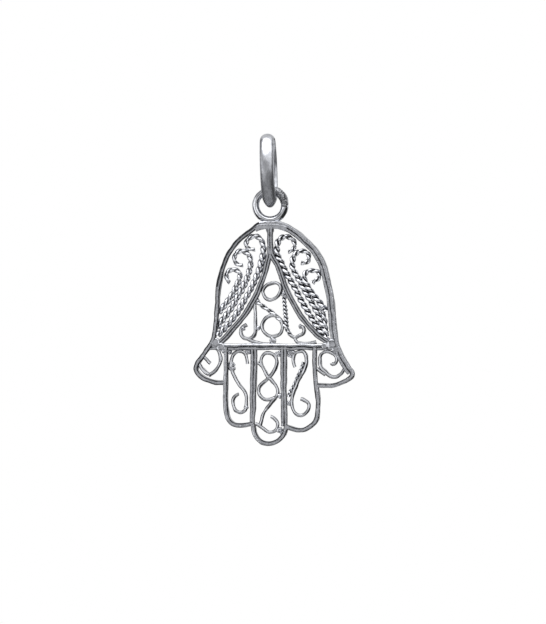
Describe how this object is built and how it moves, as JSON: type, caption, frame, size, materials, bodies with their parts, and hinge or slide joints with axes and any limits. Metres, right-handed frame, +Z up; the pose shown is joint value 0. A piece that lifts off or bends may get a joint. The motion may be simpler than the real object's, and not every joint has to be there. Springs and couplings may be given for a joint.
{
  "type": "open hand filigree pendant with bail",
  "caption": "Silver filigree pendant in the outline of an open hand, pierced right through, hanging by a small ring from an oval bail that a chain runs through.",
  "frame": {"origin": "seat inside the top of the bail, where a chain rests, on the middle of the band", "axes": "+Z up, -Y the front of the hand, +X to the right as seen from the front and along the chain"},
  "size_m": [0.0162, 0.0052, 0.0312],
  "materials": {
    "silver": "polished silver"
  },
  "bodies": {
    "bail": {"bail": "silver"},
    "hand": {"hand": "silver"}
  },
  "joints": [
    {"name": "hand_swing", "type": "hinge", "parent": "bail", "child": "hand", "pos_m": [0.00028, 0, -0.00538], "axis": [1, 0, 0], "range_deg": [-75, 75]}
  ]
}
